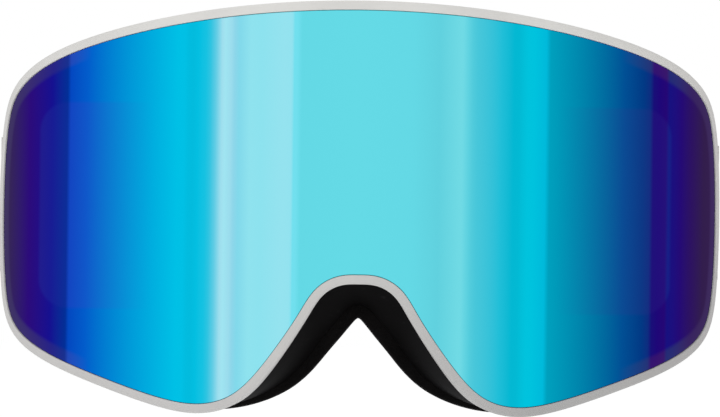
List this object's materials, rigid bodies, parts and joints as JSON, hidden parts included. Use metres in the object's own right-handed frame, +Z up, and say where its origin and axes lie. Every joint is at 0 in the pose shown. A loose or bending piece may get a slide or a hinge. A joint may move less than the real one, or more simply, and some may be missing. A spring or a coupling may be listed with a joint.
{
  "type": "ski goggles",
  "caption": "Frameless-look snow goggles with a cylindrical mirrored magnetic lens, foam face seal, swivelling outriggers and an adjustable elastic head strap.",
  "frame": {"origin": "middle of the face opening, in the plane of the foam's rear edge at the temples", "axes": "+Z up, +Y towards the back of the head (the lens faces -Y), +X to the right seen from the front"},
  "size_m": [0.1832, 0.2492, 0.1025],
  "materials": {
    "rim_grey": "satin",
    "frame_black": "matte",
    "lens_mirror": "mirror coated, blue",
    "lens_clear": "clear, lightly tinted",
    "gasket_foam": "matte",
    "carrier_black": "satin",
    "magnet_steel": "plated",
    "foam_black": "open-cell foam",
    "foam_grey": "open-cell foam",
    "fleece_black": "brushed fleece",
    "outrigger_black": "satin",
    "pin_steel": "brushed",
    "strap_webbing": "woven elastic",
    "grip_silicone": "translucent silicone"
  },
  "bodies": {
    "frame": {"front_frame": "rim_grey", "rear_frame": "frame_black", "foam_base": "foam_black", "foam_middle": "foam_grey", "foam_face": "fleece_black", "vent_foam_brow": "gasket_foam", "vent_foam_cheek_left": "gasket_foam", "vent_foam_cheek_right": "gasket_foam", "strap_band": "strap_webbing", "frame_magnet_brow_left": "magnet_steel", "frame_magnet_brow_right": "magnet_steel", "frame_magnet_temple_left": "magnet_steel", "frame_magnet_temple_right": "magnet_steel", "frame_magnet_cheek_left": "magnet_steel", "frame_magnet_cheek_right": "magnet_steel", "hinge_pin_left": "pin_steel", "strap_tail_left": "strap_webbing", "hinge_pin_right": "pin_steel", "strap_tail_right": "strap_webbing", "silicone_grip_1": "grip_silicone", "silicone_grip_2": "grip_silicone", "silicone_grip_3": "grip_silicone"},
    "lens_unit": {"outer_lens": "lens_mirror", "inner_lens": "lens_clear", "lens_gasket": "gasket_foam", "lens_carrier": "carrier_black", "lens_magnet_brow_left": "magnet_steel", "lens_magnet_brow_right": "magnet_steel", "lens_magnet_temple_left": "magnet_steel", "lens_magnet_temple_right": "magnet_steel", "lens_magnet_cheek_left": "magnet_steel", "lens_magnet_cheek_right": "magnet_steel"},
    "outrigger_left": {"outrigger_left": "outrigger_black", "strap_fold_left": "strap_webbing"},
    "slider_left": {"slider_left": "outrigger_black"},
    "outrigger_right": {"outrigger_right": "outrigger_black", "strap_fold_right": "strap_webbing"},
    "slider_right": {"slider_right": "outrigger_black"}
  },
  "joints": [
    {"name": "lens_pull", "type": "slide", "parent": "frame", "child": "lens_unit", "axis": [0, -1, 0], "range_m": [0, 0.05]},
    {"name": "outrigger_left_swing", "type": "hinge", "parent": "frame", "child": "outrigger_left", "pos_m": [-0.0886, -0.012, 0], "axis": [0, 0, 1], "range_deg": [-6, 14]},
    {"name": "slider_left_adjust", "type": "slide", "parent": "frame", "child": "slider_left", "axis": [0.0483, 0.9988, 0], "range_m": [0, 0.035]},
    {"name": "outrigger_right_swing", "type": "hinge", "parent": "frame", "child": "outrigger_right", "pos_m": [0.0886, -0.012, 0], "axis": [0, 0, -1], "range_deg": [-6, 14]},
    {"name": "slider_right_adjust", "type": "slide", "parent": "frame", "child": "slider_right", "axis": [-0.0483, 0.9988, 0], "range_m": [0, 0.035]}
  ]
}
